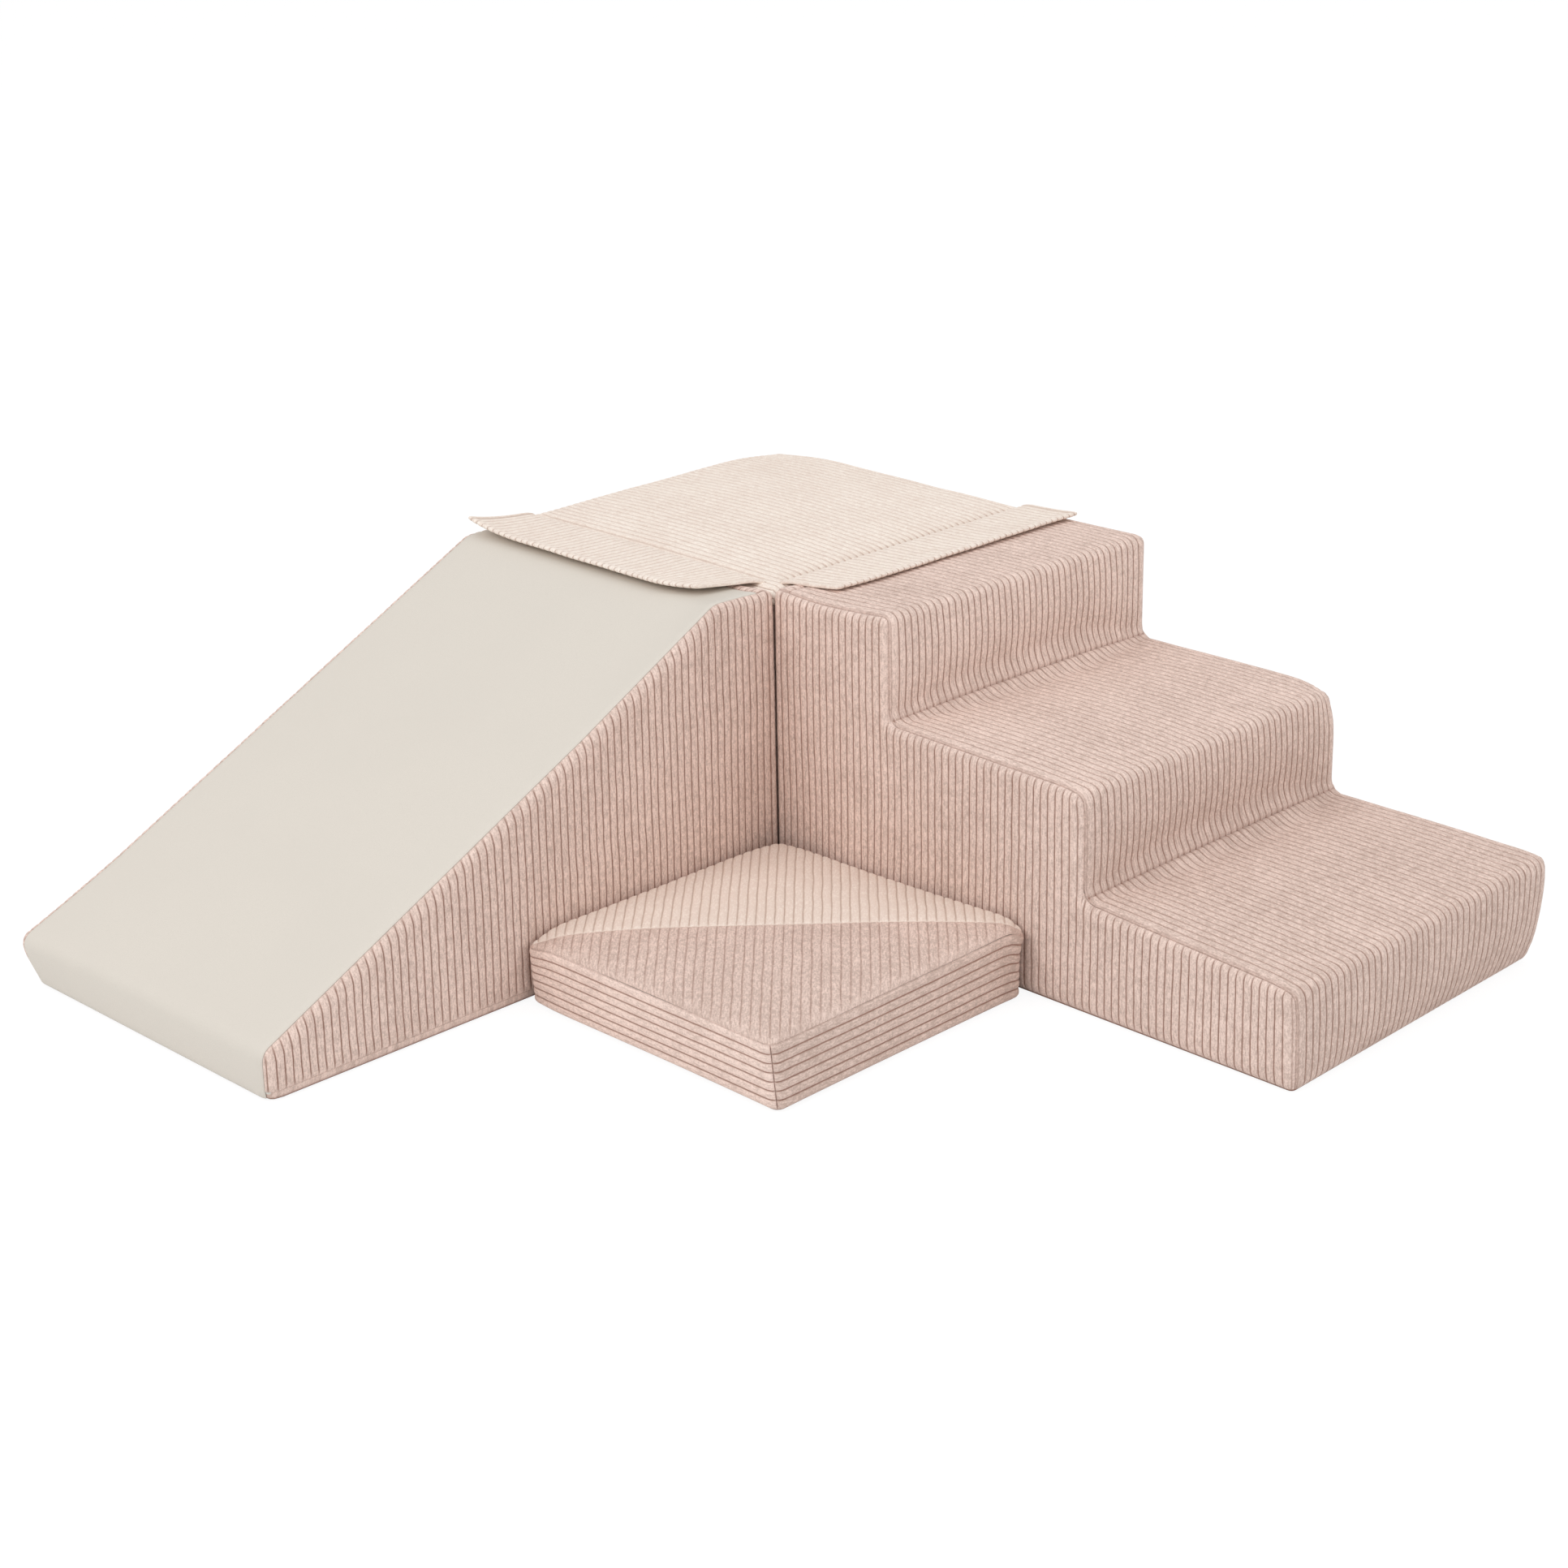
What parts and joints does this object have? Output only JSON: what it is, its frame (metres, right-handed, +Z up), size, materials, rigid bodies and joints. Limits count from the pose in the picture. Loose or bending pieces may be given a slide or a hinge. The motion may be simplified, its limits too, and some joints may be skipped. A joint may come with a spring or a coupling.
{
  "type": "soft play foam climber",
  "caption": "Corner set of covered foam blocks: square platform with a slide ramp, a stair block, a low mat in the inner corner, and two closing flaps.",
  "frame": {"origin": "on the floor under the middle of the whole set's box", "axes": "+X along the stairs' run away from the platform, -Y along the ramp's run away from the platform, +Z up"},
  "size_m": [1.3342, 1.3222, 0.4459],
  "materials": {
    "rose_corduroy": "wide-ribbed corduroy, dusty rose",
    "light_corduroy": "wide-ribbed corduroy, pale pink",
    "coated_cloth": "smooth coated cloth, pale beige, matt",
    "foam": "open-cell polyurethane foam",
    "zip_tape": "woven tape with a nylon coil",
    "zip_slider": "lacquered",
    "hook_strip": "nylon hooks",
    "loop_strip": "nylon loops"
  },
  "bodies": {
    "platform": {"platform_foam_core": "foam", "platform_top_panel": "light_corduroy", "platform_ramp_side_wall": "rose_corduroy", "platform_back_wall": "rose_corduroy", "platform_outer_wall": "rose_corduroy", "platform_stair_side_wall": "rose_corduroy", "platform_base_panel": "rose_corduroy", "platform_zip_tape": "zip_tape"},
    "left_flap": {"left_flap": "light_corduroy", "left_flap_hook_strip": "hook_strip"},
    "right_flap": {"right_flap": "light_corduroy", "right_flap_hook_strip": "hook_strip"},
    "ramp": {"ramp_foam_core": "foam", "slide_sheet": "coated_cloth", "ramp_inner_side": "rose_corduroy", "ramp_outer_side": "rose_corduroy", "ramp_back_wall": "rose_corduroy", "ramp_base_panel": "rose_corduroy", "ramp_loop_strip": "loop_strip", "ramp_zip_tape": "zip_tape"},
    "stairs": {"stair_foam_slab_1": "foam", "stair_foam_slab_2": "foam", "stair_foam_slab_3": "foam", "tread_and_riser_strip": "rose_corduroy", "stairs_inner_side": "rose_corduroy", "stairs_outer_side": "rose_corduroy", "stairs_end_wall": "rose_corduroy", "stairs_base_panel": "rose_corduroy", "stairs_loop_strip": "loop_strip", "stairs_zip_tape": "zip_tape"},
    "mat": {"mat_foam_core": "foam", "mat_light_triangle": "light_corduroy", "mat_rose_triangle": "rose_corduroy", "mat_front_left_gusset": "rose_corduroy", "mat_front_right_gusset": "rose_corduroy", "mat_back_left_gusset": "rose_corduroy", "mat_back_right_gusset": "rose_corduroy", "mat_base_panel": "rose_corduroy", "mat_zip_tape": "zip_tape"},
    "platform_zip_slider": {"platform_zip_slider": "zip_slider"},
    "ramp_zip_slider": {"ramp_zip_slider": "zip_slider"},
    "stairs_zip_slider": {"stairs_zip_slider": "zip_slider"},
    "mat_zip_slider": {"mat_zip_slider": "zip_slider"}
  },
  "joints": [
    {"name": "left_flap_hinge", "type": "hinge", "parent": "platform", "child": "left_flap", "pos_m": [-0.4155, 0.1845, 0.42307], "axis": [-1, 0, 0], "range_deg": [0, 165]},
    {"name": "right_flap_hinge", "type": "hinge", "parent": "platform", "child": "right_flap", "pos_m": [-0.1905, 0.4095, 0.42307], "axis": [0, -1, 0], "range_deg": [0, 130]},
    {"name": "ramp_pull_away", "type": "slide", "parent": "platform", "child": "ramp", "axis": [0, -1, 0], "range_m": [0, 0.6]},
    {"name": "stairs_pull_away", "type": "slide", "parent": "platform", "child": "stairs", "axis": [1, 0, 0], "range_m": [0, 0.6]},
    {"name": "mat_pull_away", "type": "slide", "parent": "platform", "child": "mat", "axis": [0.7071, -0.7071, 0], "range_m": [0, 0.5]},
    {"name": "platform_zip", "type": "slide", "parent": "platform", "child": "platform_zip_slider", "axis": [-1, 0, 0], "range_m": [0, 0.299]},
    {"name": "ramp_zip", "type": "slide", "parent": "ramp", "child": "ramp_zip_slider", "axis": [0, -1, 0], "range_m": [0, 0.299]},
    {"name": "stairs_zip", "type": "slide", "parent": "stairs", "child": "stairs_zip_slider", "axis": [-1, 0, 0], "range_m": [0, 0.299]},
    {"name": "mat_zip", "type": "slide", "parent": "mat", "child": "mat_zip_slider", "axis": [-1, 0, 0], "range_m": [0, 0.299]}
  ]
}
